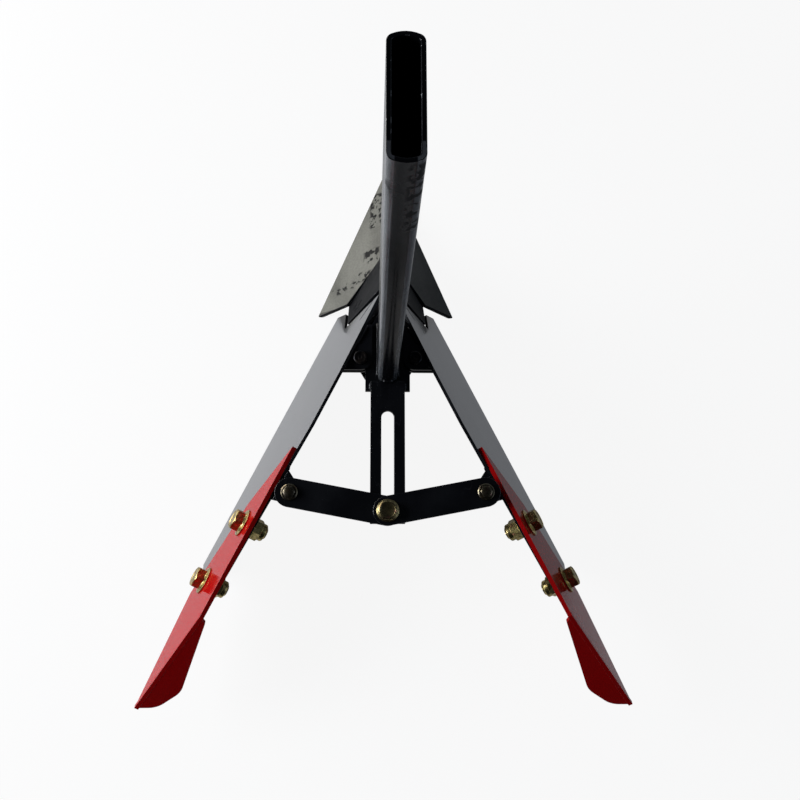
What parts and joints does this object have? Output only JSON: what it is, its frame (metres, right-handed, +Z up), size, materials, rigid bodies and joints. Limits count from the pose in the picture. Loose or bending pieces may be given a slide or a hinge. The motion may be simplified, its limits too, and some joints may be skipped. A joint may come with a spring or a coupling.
{
  "type": "two-sided ridging plow body with adjustable wings",
  "caption": "Ridging plow body on an upright flattened-tube shank: V share, hinged mouldboards with bolted red extensions, set by links on a slotted bar.",
  "frame": {"origin": "on the floor under the middle of the part's box", "axes": "+Y the direction of travel, +X to the right, +Z up along the shank"},
  "size_m": [0.4678, 0.5768, 0.535],
  "materials": {
    "black_paint": "gloss",
    "red_paint": "gloss",
    "yellow_zinc": "yellow passivated zinc",
    "dark_steel": "satin"
  },
  "bodies": {
    "frame": {"shank_tube": "black_paint", "hinge_plate_top": "black_paint", "frog_plate_bottom": "black_paint", "frog_side_left": "black_paint", "frog_side_right": "black_paint", "frog_web": "black_paint", "nose_plate": "black_paint", "share_blade": "black_paint", "slotted_bar": "black_paint", "pivot_pin_left": "dark_steel", "pivot_pin_right": "dark_steel"},
    "wing_left": {"mouldboard_left": "black_paint", "ear_top_left": "black_paint", "ear_bottom_left": "black_paint", "link_lug_left": "black_paint", "link_pin_left": "yellow_zinc", "extension_left": "red_paint", "extension_bolts_left": "yellow_zinc", "extension_nuts_left": "yellow_zinc"},
    "wing_right": {"mouldboard_right": "black_paint", "ear_top_right": "black_paint", "ear_bottom_right": "black_paint", "link_lug_right": "black_paint", "link_pin_right": "yellow_zinc", "extension_right": "red_paint", "extension_bolts_right": "yellow_zinc", "extension_nuts_right": "yellow_zinc"},
    "link_left": {"link_bar_left": "black_paint"},
    "link_right": {"link_bar_right": "black_paint"},
    "clamp": {"clamp_bolt_head": "yellow_zinc", "clamp_bolt_stem": "yellow_zinc", "clamp_nut": "yellow_zinc"}
  },
  "joints": [
    {"name": "wing_left_swing", "type": "hinge", "parent": "frame", "child": "wing_left", "pos_m": [-0.0257, 0.03361, 0.115], "axis": [0, 0, 1], "range_deg": [0, 24.36]},
    {"name": "wing_right_swing", "type": "hinge", "parent": "frame", "child": "wing_right", "pos_m": [0.0257, 0.03361, 0.115], "axis": [0, 0, 1], "range_deg": [-24.36, 0]},
    {"name": "link_left_swing", "type": "hinge", "parent": "wing_left", "child": "link_left", "pos_m": [-0.0887, -0.09279, 0.1203], "axis": [0, 0, 1], "range_deg": [0, 56.24]},
    {"name": "link_right_swing", "type": "hinge", "parent": "wing_right", "child": "link_right", "pos_m": [0.0887, -0.09279, 0.1246], "axis": [0, 0, 1], "range_deg": [-56.24, 0]},
    {"name": "clamp_slide", "type": "slide", "parent": "frame", "child": "clamp", "axis": [0, 1, 0], "range_m": [0, 0.08675]}
  ],
  "couplings": [
    {"joint": "wing_right_swing", "follows": "wing_left_swing", "ratio": -1},
    {"joint": "link_left_swing", "follows": "wing_left_swing", "ratio": 2.3091},
    {"joint": "link_right_swing", "follows": "wing_left_swing", "ratio": -2.3091},
    {"joint": "clamp_slide", "follows": "wing_left_swing", "m_per_rad": 0.20406}
  ]
}
